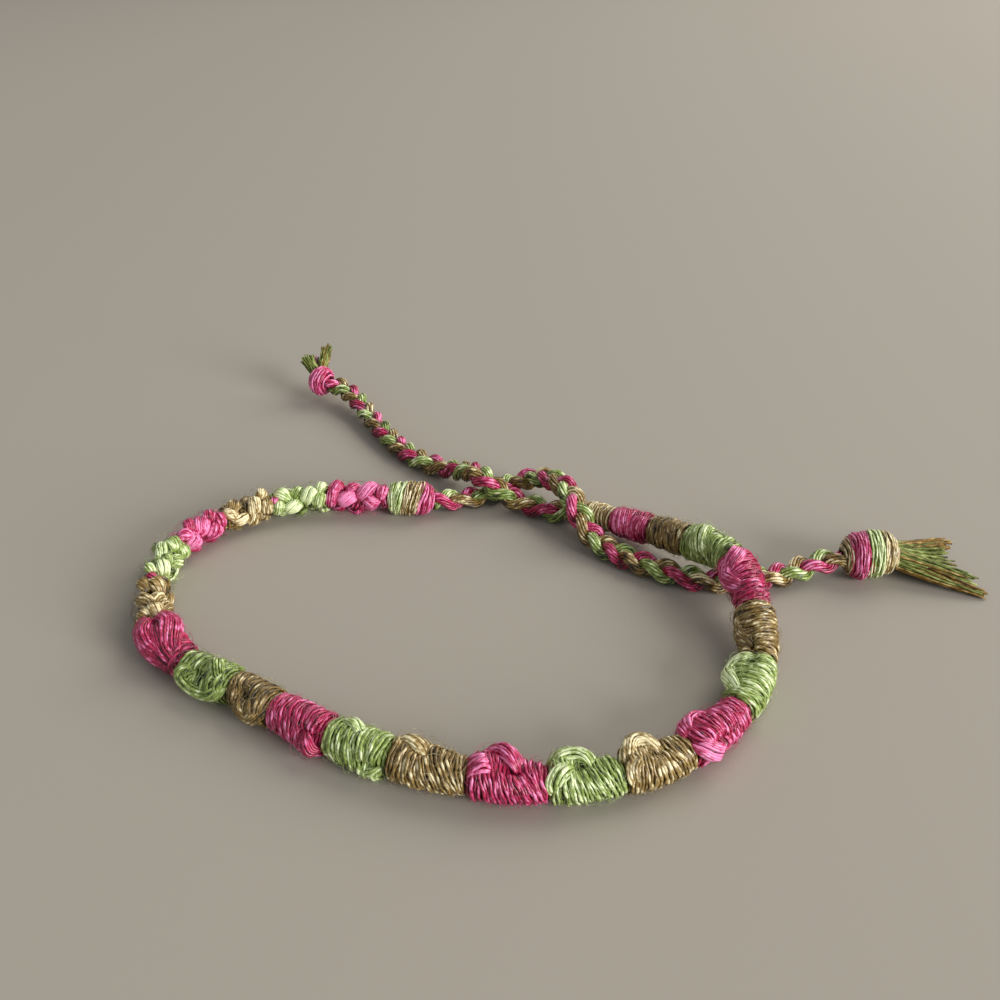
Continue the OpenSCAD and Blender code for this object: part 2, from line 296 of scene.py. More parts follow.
@dataclass
class Skein:
    """Strands gathered into one mesh."""

    name: str
    verts: list[np.ndarray] = field(default_factory=list)
    quads: list[np.ndarray] = field(default_factory=list)
    caps: list[list[int]] = field(default_factory=list)
    uvs: list[np.ndarray] = field(default_factory=list)
    shades: list[np.ndarray] = field(default_factory=list)
    tones: list[np.ndarray] = field(default_factory=list)
    cap_tones: list[int] = field(default_factory=list)
    total: int = 0

    def lay(self, path: np.ndarray, normal: np.ndarray, radius: np.ndarray | float,
            floss: Floss, shade: np.ndarray | float = 0.5, sides: int = 5,
            start: float = 0.0) -> None:
        """Lays one strand: a closed tube along a path.

        Args:
            path: points of its middle.
            normal: direction away from what it lies on, at each point.
            radius: half its thickness, one value or one for each point.
            floss: its colour.
            shade: its tone from 0, deep, to 1, bright.
            sides: sides of its section.
            start: where its pattern starts, in metres.
        """
        count = len(path)
        tangent = unit(np.gradient(path, axis=0))
        side = unit(np.cross(tangent, normal))
        upward = np.cross(side, tangent)
        angles = math.pi + 2 * math.pi * np.arange(sides) / sides
        r = np.broadcast_to(radius, count)[:, None, None]
        ring = (np.cos(angles)[None, :, None] * upward[:, None, :]
                + np.sin(angles)[None, :, None] * side[:, None, :])
        self.verts.append((path[:, None, :] + r * ring).reshape(-1, 3))
        j, k = np.meshgrid(np.arange(count - 1), np.arange(sides), indexing="ij")
        turn = (k + 1) % sides
        here, there = self.total + j * sides, self.total + (j + 1) * sides
        self.quads.append(np.stack([here + k, here + turn, there + turn, there + k],
                                   axis=-1).reshape(-1, 4))
        run = start + np.concatenate(
            [[0], np.cumsum(np.linalg.norm(np.diff(path, axis=0), axis=1))])
        u0, u1 = run[j] / MM, run[j + 1] / MM
        v0, v1 = k / sides, (k + 1) / sides
        self.uvs.append(np.stack([u0, v0, u0, v1, u1, v1, u1, v0], axis=-1).reshape(-1))
        # Painted shade and highlight: each strand is drawn darker at its sides and lighter on top
        tone = np.broadcast_to(shade, count)[:, None] + PAINTED_SIDE_SHADE * np.cos(angles)[None, :]
        self.shades.append(tone.reshape(-1))
        self.tones.append(np.full((count - 1) * sides, floss.value))
        first = list(range(self.total, self.total + sides))
        last = list(range(self.total + (count - 1) * sides, self.total + count * sides))
        self.caps += [first[::-1], last]
        self.cap_tones += [floss.value] * 2
        self.total += count * sides

    def build(self) -> bpy.types.Object:
        """Makes the object, with its materials and the pattern's coordinates.

        Returns:
            The new object.
        """
        verts = np.concatenate(self.verts)
        quads = np.concatenate(self.quads)
        mesh = bpy.data.meshes.new(self.name)
        mesh.from_pydata(verts.tolist(), [], quads.tolist() + self.caps)
        layer = mesh.uv_layers.new(name="strand")
        uvs = np.zeros(2 * len(mesh.loops), dtype=np.float32)
        known = np.concatenate(self.uvs)
        uvs[:len(known)] = known
        layer.data.foreach_set("uv", uvs)
        shade = mesh.attributes.new("shade", "FLOAT", "POINT")
        shade.data.foreach_set("value", np.concatenate(self.shades).astype(np.float32))
        used = sorted(set(np.concatenate(self.tones).tolist()))
        for value in used:
            mesh.materials.append(MATERIALS[Floss(value)])
        tones = np.concatenate([*self.tones, np.array(self.cap_tones)])
        index = np.searchsorted(used, tones).astype(np.int32)
        mesh.polygons.foreach_set("material_index", index)
        mesh.polygons.foreach_set("use_smooth", np.ones(len(mesh.polygons), dtype=bool))
        mesh.update()
        made = bpy.data.objects.new(self.name, mesh)
        bpy.context.scene.collection.objects.link(made)
        log.info("%s: %d strands, %d faces", self.name, len(self.verts), len(mesh.polygons))
        return made


@dataclass(frozen=True)
class Route:
    """Smooth curve through chosen points, carried straight on past either end."""

    points: np.ndarray

    def corners(self, u: np.ndarray) -> tuple[np.ndarray, ...]:
        """Gives the four points round each place, and its share of the stretch.

        Args:
            u: places, counted in points from the first.

        Returns:
            The four points and the share, for each place.
        """
        p = self.points
        padded = np.vstack([2 * p[0] - p[1], p, 2 * p[-1] - p[-2]])
        i = np.clip(np.floor(u).astype(int), 0, len(p) - 2)
        return padded[i], padded[i + 1], padded[i + 2], padded[i + 3], (u - i)[:, None]

    def place(self, u: np.ndarray) -> np.ndarray:
        """Gives the places at u, counted in points from the first."""
        a, b, c, d, t = self.corners(u)
        return (2 * b + (c - a) * t + (2 * a - 5 * b + 4 * c - d) * t ** 2
                + (3 * b - a - 3 * c + d) * t ** 3) / 2

    def heading(self, u: np.ndarray) -> np.ndarray:
        """Gives the directions at u."""
        a, b, c, d, t = self.corners(u)
        return unit((c - a) + 2 * (2 * a - 5 * b + 4 * c - d) * t
                    + 3 * (3 * b - a - 3 * c + d) * t ** 2)

    def length(self, samples: int = 40) -> float:
        """Gives the curve's length."""
        u = np.linspace(0, len(self.points) - 1, samples * len(self.points))
        return float(np.linalg.norm(np.diff(self.place(u), axis=0), axis=1).sum())


def outward_upward(heading: np.ndarray) -> tuple[np.ndarray, np.ndarray]:
    """Gives the outward and upward directions square to each heading."""
    outward = unit(np.cross(heading, UP))
    return outward, np.cross(outward, heading)


def rested(points: np.ndarray, radius: np.ndarray | float = STRAND_R) -> np.ndarray:
    """Lifts points so that a strand on them lies on the surface, not in it.

    Args:
        points: the strand's middle.
        radius: half its thickness.

    Returns:
        The lifted points.
    """
    held = points.copy()
    held[:, 2] = np.maximum(held[:, 2], 0.85 * radius)
    return held


def smooth(points: np.ndarray, count: int) -> np.ndarray:
    """Spreads a smooth curve of so many points through a few rows of numbers."""
    route = Route(points)
    return route.place(np.linspace(0, len(points) - 1, count))


def waver(rng: np.random.Generator, turns: np.ndarray) -> np.ndarray:
    """Gives a wave over turns, in radians, that begins at random."""
    return np.sin(turns + rng.uniform(0, 6.3))


def twist_start(rng: np.random.Generator) -> float:
    """Gives where a strand's pattern starts, at random over 9 mm."""
    return rng.uniform(0, 9) * MM


def stand_in(made: bpy.types.Object, node: str) -> bpy.types.Object:
    """Puts a piece in place of a node of the solids.

    Args:
        made: the piece.
        node: the node that it stands for.

    Returns:
        The piece.
    """
    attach(made, BODY)
    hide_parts(node)
    return made


# The band

class Form(Enum):
    """Ways in which a segment is knotted."""

    BARREL = 0
    HEART = 1
    LOOSE = 2
    FAR_BARREL = 3


BARREL_ROWS = (
    (0, NECK, 0, 0), (0.05, 0.95, 0.6, 0), (0.16, 1, 1, 0), (0.32, 1, 1, 0),
    (0.48, 1, 0.5, 0), (0.64, 0.98, 0.15, 0), (0.80, 0.96, 0.05, 0), (0.94, 0.89, 0, 0),
    (1, NECK, 0, 0),
)

# Girth of a segment along its length, for each form.
# Columns: share of its length, share of BAND_R, share of the ridge, sway as a share of BAND_R
FORMS = {
    Form.BARREL: BARREL_ROWS,
    Form.HEART: (
        (0, NECK, 0, 0), (0.05, 0.94, 0.4, 0.05), (0.18, 1, 0.7, 0.1), (0.34, 1, 0.65, 0.1),
        (0.50, 0.98, 0.4, 0.05), (0.66, 0.95, 0.25, 0), (0.82, 0.91, 0, 0), (0.94, 0.86, 0, 0),
        (1, NECK, 0, 0),
    ),
    Form.LOOSE: (
        (0, NECK, 0, 0), (0.06, 0.88, 0.15, 0.1), (0.20, 0.96, 0.5, 0.16), (0.36, 0.90, 0.2, 0),
        (0.50, 0.96, 0.5, -0.14), (0.64, 0.90, 0.15, 0), (0.80, 0.96, 0.4, 0.12),
        (0.94, 0.86, 0, 0), (1, NECK, 0, 0),
    ),
    Form.FAR_BARREL: tuple((1 - row[0], *row[1:]) for row in reversed(BARREL_ROWS)),
}


@dataclass(frozen=True)
class Lobe:
    """A bundle of strands that stands proud of the wraps.

    Its rows are given places: share of the segment's length, degrees round the band
    from outward over the top, and rise of the bundle's top above the band in millimetres.
    The widths at its start and end are shares of its full width; gleam is a painted highlight
    in its middle with painted shade at its ends: how much brighter its middle is drawn than
    its ends. It has the segment's own floss unless it names another.
    """

    rows: tuple[tuple[float, float, float], ...]
    width: float = 1.5
    start_width: float = 0.5
    end_width: float = 0.5
    twist: float = 25.0
    shade: float = 0.52
    painted_gleam: float = 0.18
    floss: Floss | None = None


# A plump bundle of a loosely knotted segment. Columns: share of the segment's length, degrees
# round the band, how far it runs along the segment and round the band either way, width in
# millimetres, and tone, which is partly painted light and shade: higher for bundles that
# stand in the light, lower for those in shade
Bundle = tuple[float, float, float, float, float, float]
PLUMP_RISE = 0.5
PLUMP_PROFILE = ((-1.0, -0.6), (-0.6, 0.6), (0.0, 1.0), (0.6, 0.6), (1.0, -0.6))


def plump(*bundles: Bundle) -> tuple[Lobe, ...]:
    """Gives the plump bundles of a loosely knotted segment, and as many on its hidden side.

    Args:
        bundles: where the bundles lie and how they look.

    Returns:
        The bundles as lobes.
    """
    made = []
    for share, angle, run, sweep, width, shade in bundles:
        for middle in (angle, angle + 180):
            made.append(Lobe(
                tuple((min(max(share + t * run, 0.03), 0.97), middle + t * sweep,
                       rise * PLUMP_RISE) for t, rise in PLUMP_PROFILE),
                width=width, start_width=0.35, end_width=0.35, shade=shade, painted_gleam=0.24))
    return tuple(made)


@dataclass(frozen=True)
class Knotting:
    """How one segment is knotted.

    Angles are degrees round the band, from outward over the top. Turn is the ridge's angle,
    height its share of RIDGE_H, and thickness the segment's share of BAND_R. The wraps fan
    out from the hole, a share and an angle, where they are drawn through the ridge; pull is
    how closely they meet there and reach how far round the band, in radians, it shows. Lean
    and bow are how far the wraps slant and bend along the segment, at its start and its end,
    as seen from the angle facing. Tone is how much brighter its floss is than that of the
    other segments of its colour.
    """

    form: Form
    turn: float
    height: float
    thickness: float
    lobes: tuple[Lobe, ...]
    facing: float = 49.0
    hole: tuple[float, float] = (0.46, 90.0)
    pull: float = 0.5
    reach: float = 1.1
    lean: tuple[float, float] = (0.06, 0.06)
    bow: tuple[float, float] = (0.03, 0.03)
    tone: float = 0.0


LOOSE, HEART, BARREL, FAR_BARREL = Form.LOOSE, Form.HEART, Form.BARREL, Form.FAR_BARREL
KNOTTINGS = (
    Knotting(LOOSE, 75, 0.8, 1.0, plump(
        (0.32, 112, 0.15, 30, 1.8, 0.66), (0.66, 155, 0.16, 30, 1.8, 0.68),
        (0.90, 150, 0.06, 50, 1.5, 0.36), (0.26, 172, -0.12, 28, 1.6, 0.5),
        (0.83, 98, 0.12, 25, 1.5, 0.34), (0.08, 125, 0.05, 40, 1.4, 0.4),
        (0.55, 90, 0.12, 24, 1.4, 0.34)), tone=0.07),
    Knotting(LOOSE, 110, 0.7, 1.0, (*plump(
        (0.07, 88, 0.06, 24, 1.3, 0.66), (0.30, 130, 0.11, 32, 1.7, 0.7),
        (0.62, 176, 0.17, 24, 1.6, 0.7), (0.78, 112, -0.14, 22, 1.5, 0.5),
        (0.50, 100, 0.10, 26, 1.4, 0.3), (0.12, 160, 0.08, 40, 1.5, 0.4),
        (0.90, 175, 0.08, 34, 1.4, 0.44)),
        Lobe(((0.9, 112, -0.2), (0.93, 128, 0.25), (0.95, 145, 0.25), (0.96, 160, -0.2)), 1.1,
             shade=0.5, floss=Floss.PINK)), tone=0.07),
    Knotting(LOOSE, 80, 0.7, 1.0, plump(
        (0.33, 134, 0.06, 46, 1.5, 0.68), (0.66, 178, 0.18, 12, 1.4, 0.68),
        (0.85, 140, -0.11, 36, 1.5, 0.5), (0.14, 88, 0.06, 22, 1.3, 0.6),
        (0.70, 104, 0.12, 30, 1.6, 0.28), (0.38, 192, 0.12, 26, 1.5, 0.34),
        (0.10, 160, 0.05, 40, 1.4, 0.42)), tone=-0.03),
    Knotting(LOOSE, 150, 0.8, 1.02, plump(
        (0.45, 126, 0.14, 30, 1.9, 0.66), (0.80, 164, 0.18, 14, 1.7, 0.68),
        (0.88, 116, -0.08, 26, 1.5, 0.58), (0.24, 100, 0.10, 24, 1.5, 0.38),
        (0.28, 176, 0.13, 24, 1.7, 0.48), (0.08, 140, 0.05, 40, 1.4, 0.4),
        (0.62, 88, 0.10, 24, 1.4, 0.36)), tone=-0.04),
    Knotting(LOOSE, 70, 0.7, 1.0, plump(
        (0.45, 82, 0.26, 18, 1.4, 0.68), (0.84, 124, 0.17, 14, 1.5, 0.68),
        (0.90, 72, 0.10, 12, 1.2, 0.6), (0.50, 154, -0.13, 26, 1.6, 0.46),
        (0.20, 118, 0.10, 28, 1.5, 0.5), (0.62, 118, 0.10, 20, 1.4, 0.26),
        (0.16, 176, 0.08, 30, 1.4, 0.4)), tone=-0.06),
    Knotting(LOOSE, 130, 0.7, 1.02, (*plump(
        (0.56, 124, -0.11, 26, 1.6, 0.66), (0.88, 104, 0.13, 8, 1.8, 0.64),
        (0.58, 70, 0.16, 20, 1.7, 0.46), (0.90, 58, 0.10, 14, 1.5, 0.46),
        (0.30, 112, 0.12, 26, 1.6, 0.5), (0.78, 148, -0.10, 24, 1.5, 0.44),
        (0.24, 56, 0.12, 24, 1.5, 0.42)),
        Lobe(((0.03, 62, -0.2), (0.08, 74, 0.2), (0.14, 86, 0.2), (0.18, 98, -0.2)), 1.1,
             shade=0.5, floss=Floss.PINK)), tone=-0.12),
    Knotting(HEART, 80, 0.8, 1.04, (
        Lobe(((0.02, 84, -0.2), (0.08, 62, 0.4), (0.24, 38, 0.7), (0.45, 24, 0.6),
              (0.66, 20, 0.3), (0.84, 24, -0.3)), 2.2, shade=0.5, painted_gleam=0.2),
        Lobe(((0.02, 96, -0.2), (0.1, 116, 0.5), (0.3, 124, 0.8), (0.52, 108, 0.75),
              (0.7, 84, 0.45), (0.86, 60, -0.2)), 2.3, shade=0.54, painted_gleam=0.24),
        Lobe(((0.18, 82, -0.2), (0.36, 72, 0.3), (0.56, 56, 0.4), (0.76, 40, 0.35),
              (0.97, 26, -0.1)), 1.8, shade=0.44)),
        60, (0.1, 75), 0.4, 0.8, (0.04, 0.04), (0, 0), -0.19),
    Knotting(FAR_BARREL, 50, 0.6, 1.02, (
        Lobe(((0.35, 60, -0.3), (0.18, 38, 0.3), (0.15, 12, 0.45), (0.35, -8, 0.6),
              (0.65, -8, 0.55), (0.88, 15, 0.3), (0.95, 45, -0.3)), 1.5, shade=0.42),
        Lobe(((0.55, 125, -0.2), (0.63, 98, 0.5), (0.78, 70, 0.55), (0.9, 45, -0.1)), 1.4,
             shade=0.46)),
        65, (0.5, 42), 0.5, 0.9, (-0.12, -0.06), (0.02, 0.02), -0.13),
    Knotting(FAR_BARREL, 15, 0.6, 1.0, (
        Lobe(((0.3, 32, -0.3), (0.38, 8, 0.4), (0.52, -10, 0.6), (0.7, -12, 0.6),
              (0.88, 12, 0.45), (0.97, 42, -0.2)), 1.4, shade=0.46),),
        60, (0.5, 45), 0.45, 0.8, (0.14, 0.1), (0.1, 0.08), -0.12),
    Knotting(FAR_BARREL, 335, 0.8, 1.02, (
        Lobe(((0.7, 32, -0.4), (0.8, 12, 0.5), (0.9, -8, 0.85), (0.99, -22, 0.2)), 1.4,
             shade=0.36),),
        52, (0.82, 25), 0.72, 1.15, (0.06, 0.02), (0.1, 0.06)),
    Knotting(FAR_BARREL, 340, 0.5, 1.04, (
        Lobe(((0.14, 132, -0.2), (0.27, 120, 0.4), (0.42, 108, 0.45), (0.56, 92, -0.3)), 1.3),
        Lobe(((0.55, -42, -0.3), (0.7, -32, 0.15), (0.84, -20, 0.2), (0.97, -4, -0.3)), 1.3)),
        50, (0.8, 5), 0.55, 1.2, (0.04, 0.0), (0.08, 0.03), 0.08),
    Knotting(BARREL, 115, 0.9, 1.0, (
        Lobe(((0, 130, 0.1), (0.12, 127, 0.5), (0.26, 120, 0.6), (0.4, 108, 0.3),
              (0.5, 95, -0.5)), 1.8, start_width=0.9, shade=0.52),),
        49, (0.45, 95), 0.5, 1.2, (0.0, 0.14), (0.04, 0.01)),
    Knotting(BARREL, 120, 1.0, 1.02, (
        Lobe(((0, 80, 0.1), (0.1, 84, 0.5), (0.2, 88, 0.55), (0.31, 92, -0.4)), 1.9,
             start_width=1.0, end_width=0.7, shade=0.56),
        Lobe(((0.12, 160, -0.2), (0.22, 148, 0.7), (0.36, 134, 1.15), (0.5, 117, 1.1),
              (0.59, 102, 0.65), (0.65, 90, -0.4)), 1.6, shade=0.54)),
        49, (0.6, 82), 0.35, 1.0, (0.12, 0.13), (0.02, 0.0)),
    Knotting(BARREL, 120, 0.9, 1.0, (
        Lobe(((0.02, 115, 0), (0.12, 126, 0.7), (0.28, 130, 0.95), (0.45, 124, 0.9),
              (0.56, 110, 0.55), (0.62, 94, -0.5)), 1.5, shade=0.55),
        Lobe(((0.34, 94, -0.3), (0.24, 84, 0.25), (0.12, 66, 0.35), (0.05, 40, 0.15),
              (0.1, 8, -0.3)), 1.6, shade=0.57)),
        49, (0.42, 94), 0.6, 1.15, (0.08, 0.1), (0.06, 0.0), 0.03),
    Knotting(BARREL, 120, 1.0, 1.0, (
        Lobe(((0.02, 84, -0.3), (0.06, 100, 0.4), (0.14, 118, 0.95), (0.26, 128, 1.2),
              (0.4, 124, 1.1), (0.5, 108, 0.5), (0.56, 95, -0.5)), 1.4, shade=0.58),
        Lobe(((0.32, 92, -0.3), (0.2, 80, 0.2), (0.08, 58, 0.3), (0.07, 30, 0.1),
              (0.14, 0, -0.3)), 1.3, shade=0.52)),
        49, (0.5, 92), 0.55, 1.1, (0.03, 0.05), (0.03, 0.0), 0.04),
    Knotting(HEART, 95, 0.8, 1.0, (
        Lobe(((0.02, 100, 0), (0.07, 128, 0.4), (0.2, 148, 0.6), (0.36, 150, 0.6),
              (0.46, 136, 0.3), (0.54, 115, -0.5)), 1.8, shade=0.58),
        Lobe(((0, 72, 0.1), (0.05, 46, 0.45), (0.14, 22, 0.65), (0.25, 4, 0.6),
              (0.34, -12, -0.3)), 1.8, shade=0.66)),
        58, (0.36, 28), 0.45, 0.9, (0.04, 0.0), (0.0, 0.0), 0.03),
    Knotting(FAR_BARREL, 165, 0.9, 1.04, (
        Lobe(((0.1, 118, -0.3), (0.22, 138, 0.4), (0.4, 158, 0.9), (0.6, 168, 0.95),
              (0.78, 158, 0.7), (0.88, 132, 0.1), (0.93, 110, -0.4)), 1.7, shade=0.56),),
        75, (0.85, 110), 0.5, 1.2, (0.05, 0.03), (0.02, 0.02), 0.08),
    Knotting(FAR_BARREL, 185, 0.4, 1.06, (
        Lobe(((0.12, 130, -0.3), (0.28, 158, 0.2), (0.5, 176, 0.3), (0.75, 172, 0.25),
              (0.92, 140, -0.3)), 1.8, shade=0.42),),
        80, (0.16, 122), 0.4, 1.2, (0.06, 0.04), (0.03, 0.0), -0.08),
    Knotting(FAR_BARREL, 180, 0.7, 1.06, (
        Lobe(((0.98, 70, -0.2), (0.92, 88, 0.3), (0.84, 108, 0.45), (0.76, 135, 0.4),
              (0.7, 165, -0.2)), 1.9, shade=0.58, painted_gleam=0.2),
        Lobe(((0.2, 128, -0.3), (0.4, 158, 0.4), (0.6, 172, 0.6), (0.8, 160, 0.35),
              (0.92, 130, -0.3)), 1.9, shade=0.5)),
        85, (0.2, 40), 0.25, 1.0, (0.08, 0.06), (0.02, 0.02)),
    Knotting(FAR_BARREL, 80, 0.8, 1.04, (
        Lobe(((0.66, 40, -0.3), (0.66, 70, 0.5), (0.64, 100, 0.75), (0.6, 130, 0.6),
              (0.55, 165, 0.3), (0.5, 200, -0.3)), 2.3, shade=0.54, painted_gleam=0.2),
        Lobe(((0.3, 70, -0.3), (0.34, 100, 0.3), (0.36, 130, 0.35), (0.36, 165, -0.2)), 1.9,
             shade=0.46)),
        130, (0.5, 30), 0.3, 0.9, (0.06, 0.06), (0.0, 0.0), -0.07),
    Knotting(BARREL, 100, 0.4, 1.0, (
        Lobe(((0.25, 60, -0.2), (0.3, 90, 0.3), (0.3, 120, 0.32), (0.26, 150, -0.2)), 1.8),),
        135, (0.5, 30), 0.3, 0.9, (0.05, 0.05), (0.0, 0.0), -0.14),
    Knotting(BARREL, 200, 0.6, 0.96, (
        Lobe(((0.74, 70, -0.2), (0.7, 100, 0.35), (0.66, 140, 0.55), (0.64, 180, 0.5),
              (0.62, 215, -0.2)), 2.4, shade=0.52, painted_gleam=0.2),
        Lobe(((0.16, 90, -0.2), (0.2, 125, 0.25), (0.24, 160, 0.3), (0.26, 195, -0.2)), 1.8,
             shade=0.44)),
        135, (0.5, 30), 0.3, 0.9, (0.08, 0.05), (0.0, 0.0), -0.02),
)


@dataclass
class BandSegment:
    """One knotted segment of the band: wraps on wraps, lobes and stray fibres."""

    number: int
    floss: Floss
    knotting: Knotting
    route: Route
    wrap_points: int = 40
    strays: int = 130
    stray_r: float = 0.011 * MM
    # The straight wraps beneath
    under_pitch: float = 0.34 * MM
    under_r: float = 0.2 * MM
    # How deep every third wrap lies, how far one stands on the next where they are drawn
    # together, and how deep they go where they are drawn through the ridge
    groove_depth: float = 0.07 * MM
    stack_height: float = 0.12 * MM
    hole_depth: float = 1.0 * MM
    # How deep the wraps of a loosely knotted segment lie under its bundles, and the share of
    # its length over which that fades at either end
    hollow_depth: float = 0.55 * MM
    hollow_fade: float = 0.15

    def __post_init__(self) -> None:
        """Works out the segment's own sizes."""
        k = self.knotting
        self.loose = k.form is Form.LOOSE
        ends = self.route.points[self.number - 1:self.number + 1]
        self.stretch = float(np.linalg.norm(ends[1] - ends[0]))
        self.table = np.array(FORMS[k.form], dtype=float)
        self.radius = k.thickness * BAND_R
        self.rng = np.random.default_rng(100 + self.number)
        self.peaks = {
            Form.HEART: [k.turn - HEART_SPREAD, k.turn + HEART_SPREAD],
            Form.LOOSE: [k.turn, k.turn + 180],
        }.get(k.form, [k.turn])

    def spot(self, share: np.ndarray, angle: np.ndarray, sink: np.ndarray | float,
             ridge: float = 1.0) -> tuple[np.ndarray, np.ndarray]:
        """Gives places on the segment's skin.

        Args:
            share: shares of its length.
            angle: degrees round the band, from outward over the top.
            sink: depth below the skin.
            ridge: how much of the ridge's height counts.

        Returns:
            The places and the directions away from the band's middle.
        """
        row = np.clip(share, 0, 1)
        girth, lobe, sway = (np.interp(row, self.table[:, 0], self.table[:, i])
                             for i in (1, 2, 3))
        u = self.number - 1 + GAP / 2 / self.stretch + share * (1 - GAP / self.stretch)
        heading = self.route.heading(u)
        outward, upward = outward_upward(heading)
        turn = math.radians(self.knotting.turn)
        middle = self.route.place(u) + (sway * BAND_R)[:, None] * (
            math.cos(turn) * outward + math.sin(turn) * upward)
        a = np.radians(angle)
        swell = np.max([np.cos(a - math.radians(p)) for p in self.peaks], axis=0).clip(0)
        crest = ridge * lobe * self.knotting.height * RIDGE_H * swell ** LOBE_POWER
        reach = girth * self.radius + crest
        normal = np.cos(a)[:, None] * outward + np.sin(a)[:, None] * upward
        return middle + (reach - sink)[:, None] * normal, normal

    def from_hole(self, angle: np.ndarray) -> np.ndarray:
        """Gives how far round the band angles lie from the hole, in radians."""
        off = np.abs((angle - self.knotting.hole[1] + 180) % 360 - 180)
        return np.radians(off)

    def hollow(self, share: np.ndarray) -> np.ndarray:
        """Gives how deep the wraps of a loosely knotted segment lie under its bundles.

        Args:
            share: shares of the segment's length.

        Returns:
            The depths.
        """
        if not self.loose:
            return np.zeros_like(share)
        inside = np.minimum(share, 1 - share) / self.hollow_fade
        return self.hollow_depth * np.clip(inside, 0.3, 1)

    def under_wraps(self, skein: Skein, points: int = 20) -> None:
        """Lays the straight wraps beneath, which close the gaps between the outer ones.

        Args:
            skein: where the strands go.
            points: points of each wrap.
        """
        count = round(self.stretch / self.under_pitch)
        angle = np.linspace(270, 640, points)
        hole = self.knotting.hole[0]
        for n in range(count):
            share = np.full(points, (n + 0.5) / count)
            near = np.exp(-((share - hole) / 0.14) ** 2 - (self.from_hole(angle) / 0.32) ** 2)
            sink = (0.34 + 0.7 * near) * MM + self.hollow(share)
            path, normal = self.spot(share, angle, sink, 0.35)
            skein.lay(rested(path, self.under_r), normal, self.under_r, self.floss, UNDER_SHADE,
                      sides=4)

    def wraps(self, skein: Skein) -> None:
        """Lays the wraps, which fan out from the hole in the ridge.

        Args:
            skein: where the strands go.
        """
        k = self.knotting
        hole, hole_angle = k.hole
        count = round(self.stretch / STRAND_PITCH)
        edge = STRAND_R / self.stretch
        angle = hole_angle + np.linspace(180, 541, self.wrap_points)
        # Painted shade: a loosely knotted segment's wraps, which lie deep under its bundles, are
        # drawn darker
        shade = (0.26 if self.loose else 0.44) + k.tone
        off = np.radians(k.facing - angle)
        away = self.from_hole(angle)
        for n in range(count):
            base = edge + (n + 0.5 + self.rng.normal(0, 0.1)) / count * (1 - 2 * edge)
            lean = k.lean[0] + (k.lean[1] - k.lean[0]) * base
            bow = k.bow[0] + (k.bow[1] - k.bow[0]) * base
            room = min(1.0, 6 * base * (1 - base))
            drawn = (k.pull * math.exp(-((base - hole) / 0.35) ** 2)
                     * np.exp(-(away / k.reach) ** 2))
            share = base + room * (lean * np.sin(off) - bow * np.cos(off))
            share = share + (hole - base) * drawn
            share = share + 0.011 * waver(self.rng, off)
            share = share + 0.006 * waver(self.rng, 3 * off)
            share = share + 0.006 * waver(self.rng, 7 * off)
            share = np.clip(share, edge, 1 - edge)
            groove = 1.0 if n % 3 == 2 else 0.0
            stack = self.stack_height * (n % 2) * drawn
            low = np.exp(-(away / 0.26) ** 2) * math.exp(-((base - hole) / 0.22) ** 2)
            sink = (STRAND_R + self.groove_depth * groove + self.hole_depth * low - stack
                    + self.rng.uniform(-0.04, 0.05) * MM)
            sink = sink + 0.05 * MM * waver(self.rng, 5 * off)
            path, normal = self.spot(share, angle, sink + self.hollow(share), 0.35)
            swell = 1 + 0.14 * waver(self.rng, 4 * off)
            # Painted shade: darker deep in the hole through the ridge and on every third, lower
            # wrap
            skein.lay(rested(path), normal, STRAND_R * self.rng.uniform(0.86, 1.1) * swell,
                      self.floss, shade + self.rng.normal(0, 0.08) - 0.4 * low - 0.12 * groove,
                      start=twist_start(self.rng))

    def lobe(self, skein: Skein, shape: Lobe) -> None:
        """Lays one lobe of strands over the wraps.

        Args:
            skein: where the strands go.
            shape: the lobe's form and tone.
        """
        points = 16 if self.loose else 20
        rows = smooth(np.array(shape.rows, dtype=float), points)
        wide = shape.width * MM / 2
        # A bundle that stands proud reaches down to the wraps beneath it
        foot = 0.9 if self.loose else 0.5
        high = (np.clip(rows[:, 2], 0.1, None) + foot) * MM / 2
        floss = self.floss if shape.floss is None else shape.floss
        middle, normal = self.spot(rows[:, 0], rows[:, 1], high - rows[:, 2] * MM, 0.0)
        tangent = unit(np.gradient(middle, axis=0))
        side = unit(np.cross(tangent, normal))
        share = np.linspace(0, 1, points)
        fade = np.sqrt(np.clip(np.sin(math.pi * share), 0, 1))
        ends = np.where(share < 0.5, shape.start_width, shape.end_width)
        narrow = ends + (1 - ends) * fade
        core = narrow * np.clip(np.minimum(high, wide) - 2 * STRAND_R, 0.05 * MM, None)
        skein.lay(rested(middle, core), normal, core, floss, CORE_SHADE)
        # Strands stand at even distances round the bundle's oval section
        round_it = np.linspace(0, 2 * math.pi, 73)
        oval = np.stack([(wide - STRAND_R) * np.cos(round_it),
                         (float(high.max()) - STRAND_R) * np.sin(round_it)], axis=1)
        rim = np.concatenate([[0], np.cumsum(np.linalg.norm(np.diff(oval, axis=0), axis=1))])
        count = round(rim[-1] / (0.9 * STRAND_PITCH))
        for n in range(count):
            place = (n + 0.5 + self.rng.normal(0, 0.15)) / count * rim[-1]
            turn = float(np.interp(place, rim, round_it))
            turn = turn + math.radians(shape.twist) * (share - 0.5)
            x = (wide - STRAND_R) * narrow * np.cos(turn)
            z = (high - STRAND_R) * narrow * np.sin(turn) + self.rng.uniform(-0.1, 0.05) * MM
            path = middle + x[:, None] * side + z[:, None] * normal
            away = (np.cos(turn) * high)[:, None] * side + (np.sin(turn) * wide)[:, None] * normal
            # Painted highlight in the middle of the bundle and painted shade at its ends
            shade = (shape.shade + self.knotting.tone - 0.1 + self.rng.normal(0, 0.08)
                     + shape.painted_gleam * (2 * fade - 1))
            skein.lay(rested(path), unit(away), STRAND_R * self.rng.uniform(0.86, 1.1), floss,
                      shade, start=twist_start(self.rng))

